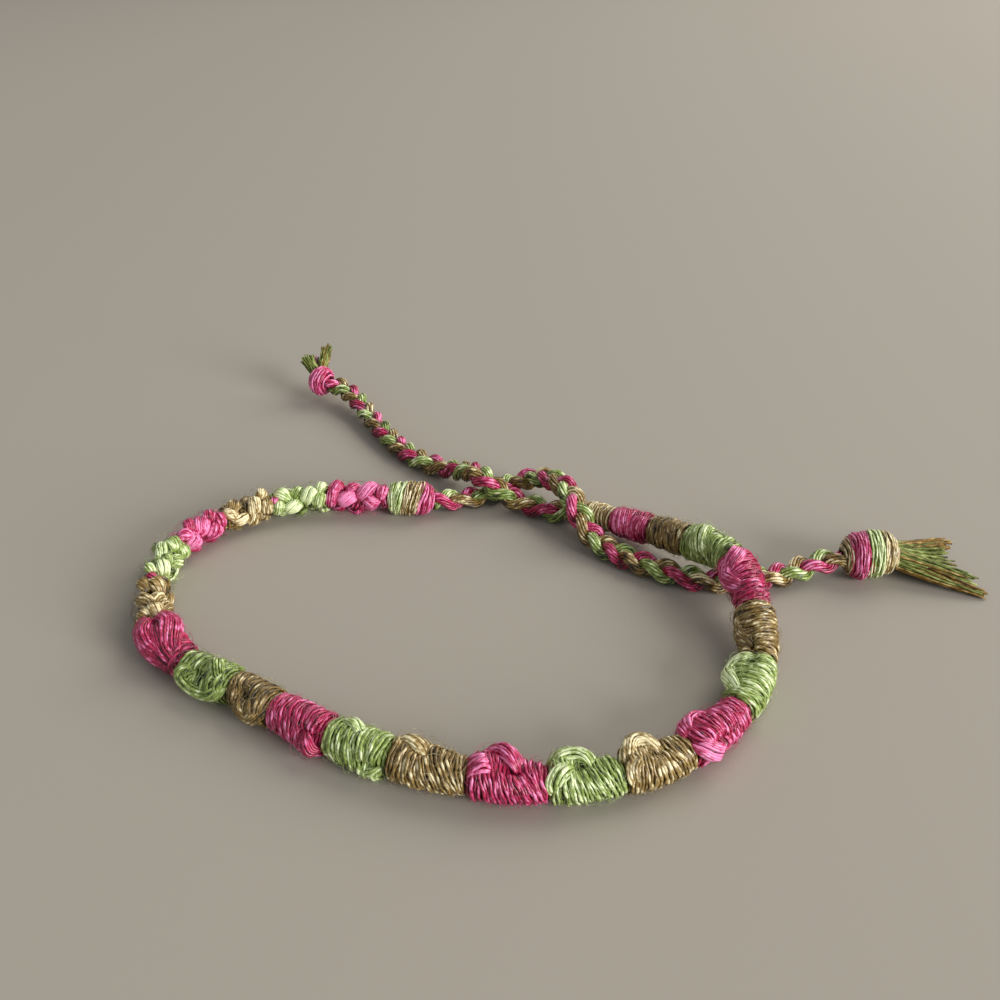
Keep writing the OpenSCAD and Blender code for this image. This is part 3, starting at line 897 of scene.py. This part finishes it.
    def stray(self, skein: Skein) -> None:
        """Lays stray fibres, which soften the outline.

        Args:
            skein: where the strands go.
        """
        for _ in range(self.strays):
            share = self.rng.uniform(0.03, 0.97) + np.linspace(0, self.rng.normal(0, 0.12), 5)
            angle = self.rng.uniform(0, 360) + np.linspace(0, self.rng.normal(0, 35), 5)
            rise = self.rng.uniform(0.06, 0.36) * MM * np.sin(np.linspace(0, 2.4, 5))
            path, normal = self.spot(share, angle, -rise, 0.8)
            skein.lay(rested(path), normal, self.stray_r, self.floss, 0.7, sides=3)

    def build(self) -> bpy.types.Object:
        """Builds the segment in place of its solid.

        Returns:
            The segment.
        """
        node = f"segment_{self.number:02d}"
        skein = Skein(f"{node}_floss")
        self.under_wraps(skein)
        self.wraps(skein)
        for shape in self.knotting.lobes:
            self.lobe(skein, shape)
        self.stray(skein)
        return stand_in(skein.build(), node)


# The ties

@dataclass
class Plait:
    """A tie: three strands of floss plaited along a route."""

    name: str
    route: Route
    order: tuple[Floss, Floss, Floss] = COLOURS
    width: float = 1.2 * TIE_D
    # Length of one turn of the plait, and of the slow ease that keeps it from being even
    pitch: float = 7.6 * MM
    ease: float = 17 * MM
    strand_r: float = 0.62 * MM
    rise: float = 0.54 * MM
    ply_r: float = 0.15 * MM
    plies: int = 10
    ply_turn: float = 9 * MM
    seed: int = 7

    def frames(self, step: float = 0.3 * MM) -> tuple[np.ndarray, ...]:
        """Gives evenly spaced places on the route, with their distance and directions.

        Args:
            step: the distance between places.

        Returns:
            The places, their distance from the first, and the outward and upward directions.
        """
        dense = np.linspace(0, len(self.route.points) - 1, 60 * len(self.route.points))
        places = self.route.place(dense)
        run = np.concatenate([[0], np.cumsum(np.linalg.norm(np.diff(places, axis=0), axis=1))])
        along = np.linspace(0, run[-1], round(run[-1] / step))
        u = np.interp(along, run, dense)
        outward, upward = outward_upward(self.route.heading(u))
        return self.route.place(u), along, outward, upward

    def build(self) -> bpy.types.Object:
        """Builds the plait in place of its solid.

        Returns:
            The plait.
        """
        rng = np.random.default_rng(self.seed)
        middle, along, outward, upward = self.frames()
        skein = Skein(f"{self.name}_floss")
        reach = self.width / 2 - self.strand_r
        for number, floss in enumerate(self.order):
            theta = 2 * math.pi * (along / self.pitch + number / 3)
            theta = theta + 0.25 * np.sin(2 * math.pi * along / self.ease + 1.3)
            strand = (middle + (reach * np.sin(theta))[:, None] * outward
                      + (self.rise * np.sin(2 * theta))[:, None] * upward)
            tangent = unit(np.gradient(strand, axis=0))
            side = unit(np.cross(tangent, upward))
            above = np.cross(side, tangent)
            ring = self.strand_r - self.ply_r
            skein.lay(rested(strand, ring), above, ring, floss, CORE_SHADE)
            # Painted shade: floss that lies deep in the plait is drawn darker and what stands on
            # top lighter, and each ply is drawn darker low on its strand and lighter on top
            painted_depth_shade = 0.25 + 0.12 * np.sin(2 * theta)
            for ply in range(self.plies):
                turn = 2 * math.pi * (ply / self.plies + along / self.ply_turn) + number
                away = np.cos(turn)[:, None] * side + np.sin(turn)[:, None] * above
                path = strand + ring * (1 + 0.05 * rng.normal()) * away
                skein.lay(rested(path, self.ply_r), away, self.ply_r * rng.uniform(0.95, 1.1),
                          floss, painted_depth_shade + 0.1 * np.sin(turn) + rng.normal(0, 0.1),
                          start=twist_start(rng))
        return stand_in(skein.build(), self.name)


# The knots

# Girth of a wrapped knot. Columns: share of its length, share of its girth beyond the tie
WRAP = (
    (0, 0), (0.04, 0.42), (0.12, 0.75), (0.26, 0.96), (0.42, 1), (0.62, 0.96), (0.8, 0.86),
    (0.92, 0.66), (0.98, 0.4), (1, 0),
)


@dataclass
class WrappedKnot:
    """A knot of floss wrapped round the end of a plait."""

    name: str
    start: np.ndarray
    start_way: np.ndarray
    end: np.ndarray
    end_way: np.ndarray
    start_r: float
    end_r: float
    girth: float
    bands: tuple[tuple[float, Floss], ...]
    slant: float = 0.08
    slant_from: float = 50.0
    bulge: float = 0.14 * MM
    shade: float = 0.66
    # The straight wraps beneath
    under_pitch: float = 0.36 * MM
    under_r: float = 0.24 * MM
    under_depth: float = 0.34 * MM
    # The wraps over them, closer and thinner than the band's, and how deep their ends go in
    wrap_pitch: float = 0.52 * STRAND_PITCH
    wrap_r: float = 0.7 * STRAND_R
    tuck: float = 0.3 * MM
    seed: int = 3

    def __post_init__(self) -> None:
        """Works out the knot's own sizes."""
        self.length = float(np.linalg.norm(self.end - self.start))
        self.table = np.array(WRAP, dtype=float)
        self.rng = np.random.default_rng(self.seed)

    def spot(self, share: np.ndarray, angle: np.ndarray,
             sink: np.ndarray | float) -> tuple[np.ndarray, np.ndarray]:
        """Gives places on the knot's skin, and the directions away from its middle.

        Args:
            share: shares of the knot's length.
            angle: degrees round the knot, from outward over the top.
            sink: depth below the skin.

        Returns:
            The places and the directions.
        """
        t = share[:, None]
        middle = (self.start * (1 - t) ** 2 * (1 + 2 * t) + self.end * t ** 2 * (3 - 2 * t)
                  + self.length * t * (1 - t) * ((1 - t) * self.start_way - t * self.end_way))
        heading = unit(self.start_way * (1 - t) + self.end_way * t)
        outward, upward = outward_upward(heading)
        inner = self.start_r + (self.end_r - self.start_r) * share
        full = np.interp(share, self.table[:, 0], self.table[:, 1])
        reach = inner + (self.girth / 2 - inner) * full + self.bulge * (self.crown(share) - 0.6)
        a = np.radians(angle)
        normal = np.cos(a)[:, None] * outward + np.sin(a)[:, None] * upward
        return middle + (reach - sink)[:, None] * normal, normal

    def crown(self, share: np.ndarray) -> np.ndarray:
        """Gives how full each colour's own band of wraps is, from 0 at its edges to 1."""
        edges = np.array([0.0] + [end for end, _ in self.bands])
        return np.abs(np.sin(math.pi * np.interp(share, edges, np.arange(len(edges)))))

    def colour(self, share: float) -> Floss:
        """Gives the colour of the floss at a share of the knot's length."""
        return next(floss for end, floss in self.bands if share <= end)

    def wraps(self, skein: Skein, points: int = 32) -> None:
        """Lays the wraps side by side, and straight ones under them.

        Args:
            skein: where the strands go.
            points: points of each wrap.
        """
        below = round(self.length / self.under_pitch)
        around = np.linspace(270, 640, 20)
        for n in range(below):
            base = (n + 0.5) / below
            path, normal = self.spot(np.full(len(around), base), around, self.under_depth)
            skein.lay(rested(path, self.under_r), normal, self.under_r, self.colour(base),
                      UNDER_SHADE)
        count = round(self.length / self.wrap_pitch)
        delta = np.linspace(0, 360, points)
        for n in range(count):
            base = min(max((n + 0.5 + self.rng.normal(0, 0.15)) / count, 0.0), 1.0)
            angle = self.rng.uniform(200, 340) + delta
            room = min(1.0, 5 * base * (1 - base))
            run = base + room * self.slant * np.sin(np.radians(angle - self.slant_from))
            run = run + room * 0.026 * waver(self.rng, np.radians(angle))
            run = run + room * 0.012 * waver(self.rng, np.radians(4 * angle))
            run = np.clip(run, 0.004, 0.996)
            sink = STRAND_R + self.rng.uniform(-0.1, 0.06) * MM
            sink = sink + 0.05 * MM * waver(self.rng, np.radians(3 * angle))
            sink = sink + self.tuck * np.exp(-(np.minimum(delta, 360 - delta) / 9.0) ** 2)
            path, normal = self.spot(run, angle, sink)
            swell = 1 + 0.12 * waver(self.rng, np.radians(4 * angle))
            skein.lay(rested(path), normal, self.wrap_r * self.rng.uniform(0.85, 1.1) * swell,
                      self.colour(min(1.0, abs(base + self.rng.normal(0, 0.015)))),
                      self.shade + self.rng.normal(0, 0.12), start=twist_start(self.rng))

    def build(self, slot: str) -> bpy.types.Object:
        """Builds the knot in place of its solid.

        Args:
            slot: a material slot; not used.

        Returns:
            The knot.
        """
        skein = Skein(f"{self.name}_floss")
        self.dress(skein)
        return stand_in(skein.build(), self.name)

    def dress(self, skein: Skein) -> None:
        """Lays all of the knot's floss."""
        self.wraps(skein)


# Turn from each strand of a lock to the next, which spreads them evenly over its section
GOLDEN_TURN = math.radians(137.5)


@dataclass(frozen=True)
class Lock:
    """A lock of cut floss on a knot.

    Sideways and droop are its degrees off the tie's own direction. Its length is a share of
    the knot's lock_length; its side_shift, rise and thickness are shares of lock_d. Point is
    how far its end is drawn together, not fanned out.
    """

    sideways: float
    droop: float
    length: float
    side_shift: float
    rise: float
    thick: float
    colours: tuple[Floss, ...]
    point: float = 0.0


@dataclass
class TasselledKnot(WrappedKnot):
    """A wrapped knot with locks of cut floss on its far side."""

    locks: tuple[Lock, ...] = ()
    lock_length: float = 10.4 * MM
    lock_d: float = 1.8 * MM
    strands: int = 72
    # How much wider a lock is at its end than at its root, and how far its strands wave
    fan: float = 0.45
    wave: float = 0.16 * MM
    cut_shade: float = 0.4

    def lock(self, skein: Skein, lock: Lock, points: int = 12) -> None:
        """Lays one lock, strand by strand.

        Args:
            skein: where the strands go.
            lock: the lock's form and colours.
            points: points of each strand.
        """
        heading = self.end_way
        outward, upward = (v[0] for v in outward_upward(heading[None, :]))
        aim = unit(heading - math.tan(math.radians(lock.sideways)) * outward
                   - math.tan(math.radians(lock.droop)) * upward)
        root = (self.end - ROOT_DEPTH * self.lock_d * heading
                - lock.side_shift * self.lock_d * outward + lock.rise * self.lock_d * upward)
        side = unit(np.cross(aim, UP))
        above = np.cross(side, aim)
        share = np.linspace(0, 1, points)
        half = lock.thick * self.lock_d / 2
        for n in range(self.strands):
            away = math.sqrt((n + 0.5) / self.strands)
            turn = n * GOLDEN_TURN
            length = self.lock_length * lock.length * self.rng.uniform(0.84, 1.04)
            fan = 1 + (self.fan - lock.point) * share ** 1.5
            x = half * away * math.cos(turn) * fan
            z = half * away * math.sin(turn) * fan
            wave = self.wave * np.sin(share * 6 + self.rng.uniform(0, 6)) * share
            curl = self.wave * np.sin(share * 5 + self.rng.uniform(0, 6)) * share
            path = (root + length * share[:, None] * aim + (x + wave)[:, None] * side
                    + (z + curl)[:, None] * above)
            radius = 0.9 * STRAND_R * (1 - 0.3 * share ** 3)
            skein.lay(rested(path), np.tile(above, (points, 1)), radius,
                      lock.colours[n % len(lock.colours)],
                      self.cut_shade + self.rng.normal(0, 0.14), start=twist_start(self.rng))

    def dress(self, skein: Skein) -> None:
        """Lays all of the knot's floss, and its locks.

        Args:
            skein: where the strands go.
        """
        self.wraps(skein)
        for lock in self.locks:
            self.lock(skein, lock)


CUT_GREEN, CUT_GOLD = Floss.FRAYED_GREEN, Floss.FRAYED_GOLD
TASSEL_LOCKS = (
    Lock(11, 19, 0.66, 0.3, -0.2, 1.05, (CUT_GREEN,) * 4 + (CUT_GOLD,), 0.35),
    Lock(5, 25, 0.68, 0.1, -0.25, 1.15, (CUT_GREEN,) * 15 + (Floss.PINK,), 0.35),
    Lock(7, 30, 0.64, 0.3, -0.5, 1.1, (CUT_GREEN,) * 5 + (CUT_GOLD,), 0.35),
    Lock(-5, 26, 0.72, -0.1, -0.4, 1.2, (CUT_GREEN,) * 5 + (CUT_GOLD,), 0.3),
    Lock(-19, 22, 0.84, -0.3, -0.15, 1.05, (CUT_GREEN,) * 5 + (CUT_GOLD,), 0.8),
    Lock(-26, 22, 0.93, -0.35, -0.4, 0.95, (CUT_GOLD,) * 7 + (CUT_GREEN,), 0.95),
    Lock(11, 15, 0.73, 0.35, -0.05, 0.55, (CUT_GOLD,), 0.3),
)
FAR_TAILS = (
    Lock(-26, -28, 0.7, -0.1, 0.1, 0.7, (CUT_GREEN,)),
    Lock(-66, -44, 1, -0.4, 0.2, 0.55, (CUT_GOLD, CUT_GREEN)),
    Lock(-48, -20, 0.8, -0.3, -0.2, 0.6, (CUT_GREEN, Floss.PINK)),
)


# Camera, light and surface

@dataclass(frozen=True)
class Lamp:
    """A square soft light that faces the loop: place and side in metres, power in watts."""

    name: str
    place: tuple[float, float, float]
    side: float
    power: float
    colour: str


@dataclass
class Studio:
    """The camera at the photograph's angle, soft daylight and a pale surface."""

    # The photograph's frame and what its camera measures in it
    image_side: int = 1000
    focal_px: float = 950.0
    sensor: float = 36.0
    pitch: float = 32.5
    place: tuple[float, float, float] = (5.6 * MM, -74.0 * MM, 62.4 * MM)
    # Daylight from two windows, and the even light of the room
    lamps: tuple[Lamp, ...] = (
        Lamp("window", (0.95, 0.75, 1.0), 1.2, 14, "#FFFBF4"),
        Lamp("window_right", (1.32, -0.95, 0.5), 0.7, 29, "#FBFBFF"),
    )
    room_colour: str = "#E6E9EE"
    room_strength: float = 0.44
    # Smooth pale paper, uncoated: it scatters light evenly and barely shines
    surface_half: float = 2.0
    paper_colour: str = "#A8A092"
    paper_roughness: float = 0.8

    def camera(self) -> None:
        """Sets the camera."""
        lens = bpy.data.cameras.new("camera")
        lens.sensor_width = self.sensor
        lens.lens = self.focal_px / self.image_side * self.sensor
        lens.clip_start = 1 * MM
        made = bpy.data.objects.new("camera", lens)
        made.location = self.place
        made.rotation_euler = (math.radians(90 - self.pitch), 0, 0)
        bpy.context.scene.collection.objects.link(made)
        bpy.context.scene.camera = made

    def light(self, lamp: Lamp) -> None:
        """Adds a lamp.

        Args:
            lamp: where it stands and how it shines.
        """
        light = bpy.data.lights.new(lamp.name, "AREA")
        light.size = lamp.side
        light.energy = lamp.power
        light.color = linear(lamp.colour)[:3]
        made = bpy.data.objects.new(lamp.name, light)
        made.location = lamp.place
        aim = -np.array(lamp.place)
        made.rotation_euler = (math.atan2(math.hypot(aim[0], aim[1]), -aim[2]), 0,
                               math.atan2(aim[1], aim[0]) - math.pi / 2)
        bpy.context.scene.collection.objects.link(made)

    def surface(self) -> None:
        """Lays the plain pale surface."""
        half = self.surface_half
        mesh = bpy.data.meshes.new("surface")
        mesh.from_pydata([(-half, -half, 0), (half, -half, 0), (half, half, 0), (-half, half, 0)],
                         [], [(0, 1, 2, 3)])
        made = bpy.data.objects.new("surface", mesh)
        bpy.context.scene.collection.objects.link(made)
        pale = bpy.data.materials.new("pale_paper")
        pale.use_nodes = True
        shader = pale.node_tree.nodes["Principled BSDF"]
        shader.inputs["Base Color"].default_value = linear(self.paper_colour)
        shader.inputs["Roughness"].default_value = self.paper_roughness
        mesh.materials.append(pale)

    def world(self) -> None:
        """Sets the even light of the room."""
        made = bpy.data.worlds.new("room")
        made.use_nodes = True
        back = made.node_tree.nodes["Background"]
        back.inputs["Color"].default_value = linear(self.room_colour)
        back.inputs["Strength"].default_value = self.room_strength
        bpy.context.scene.world = made

    def build(self) -> None:
        """Builds the whole studio."""
        self.camera()
        for lamp in self.lamps:
            self.light(lamp)
        self.surface()
        self.world()
        bpy.context.scene.view_settings.view_transform = "Standard"


@dataclass
class FriendshipBracelet:
    """The whole bracelet, from the ties to the band."""

    band: Route = field(default_factory=lambda: Route(
        np.array([(x * LOOP_W, y * LOOP_D, BAND_R + z * CLIMB) for x, y, z in BAND_ROUTE])))
    near: Route = field(default_factory=lambda: Route(np.array(NEAR_TIE_ROUTE)))
    far: Route = field(default_factory=lambda: Route(np.array(FAR_TIE_ROUTE)))
    near_knot_d: float = 5.2 * MM
    near_knot_len: float = 5.8 * MM
    far_knot_d: float = 4.1 * MM
    far_knot_len: float = 2.8 * MM
    start_knot_d: float = 4.1 * MM
    end_knot_d: float = 3.1 * MM
    tassel_len: float = 10.4 * MM
    tail_len: float = 5.4 * MM

    def end_of(self, route: Route) -> tuple[np.ndarray, np.ndarray]:
        """Gives a route's last point and its direction there."""
        return route.points[-1], route.heading(np.array([len(route.points) - 1.0]))[0]

    def start_of(self, route: Route) -> tuple[np.ndarray, np.ndarray]:
        """Gives a route's first point and its direction there."""
        return route.points[0], route.heading(np.array([0.0]))[0]

    def tasselled(self, name: str, route: Route, length: float, girth: float,
                  bands: tuple[tuple[float, Floss], ...], locks: tuple[Lock, ...],
                  lock_length: float) -> TasselledKnot:
        """Gives the knot at the far end of a tie."""
        tip, way = self.end_of(route)
        return TasselledKnot(name, tip, way, tip + length * way, way, 0.35 * TIE_D,
                             0.22 * TIE_D, girth, bands, locks=locks, lock_length=lock_length)

    def tie(self, name: str, route: Route, seed: int) -> None:
        """Args:
            name: the tie's node.
            route: its middle, from the band to its knot.
            seed: seed of its own random draws.
        """
        made = Plait(name, route, seed=seed).build()
        dense = route.place(np.linspace(0, len(route.points) - 1, 6 * len(route.points)))
        length = route.length()
        log.info("%s: %.1f mm long", name, length / MM)

    def build(self) -> None:
        """Builds every piece."""
        near_knot = self.tasselled(
            "near_tie_knot", self.near, self.near_knot_len, self.near_knot_d,
            ((0.12, Floss.GOLD), (0.44, Floss.PINK), (0.68, Floss.GREEN), (1.0, Floss.GOLD)),
            TASSEL_LOCKS, self.tassel_len).build(PLAIT_SLOT)
        far_knot = self.tasselled(
            "far_tie_knot", self.far, self.far_knot_len, self.far_knot_d, ((1.0, Floss.PINK),),
            FAR_TAILS, self.tail_len).build(PLAIT_SLOT)
        self.tie("near_tie", self.near, 11)
        self.tie("far_tie", self.far, 12)
        for number, knotting in enumerate(KNOTTINGS, start=1):
            floss = COLOURS[(number - 1) % len(COLOURS)]
            BandSegment(number, floss, knotting, self.band).build()
        band_start, band_way = self.start_of(self.band)
        tie_start, tie_way = self.start_of(self.near)
        WrappedKnot("start_knot", tie_start, -tie_way, band_start - GAP * band_way, band_way,
                    TIE_D / 2, NECK * BAND_R, self.start_knot_d,
                    ((0.34, Floss.PINK), (0.68, Floss.GOLD), (1.0, Floss.GREEN)),
                    slant=0.1, slant_from=135.0).build(SLOTS[Floss.GREEN])
        band_end, end_way = self.end_of(self.band)
        far_start, far_way = self.start_of(self.far)
        WrappedKnot("end_knot", band_end + GAP * end_way, end_way, far_start, far_way,
                    NECK * BAND_R, TIE_D / 2, self.end_knot_d,
                    ((1.0, Floss.GOLD),)).build(SLOTS[Floss.GOLD])


def main() -> None:
    """Builds the studio and the bracelet."""
    logging.basicConfig(level=logging.INFO, format="%(message)s")
    Studio().build()
    FriendshipBracelet().build()


if __name__ == "__main__":
    main()
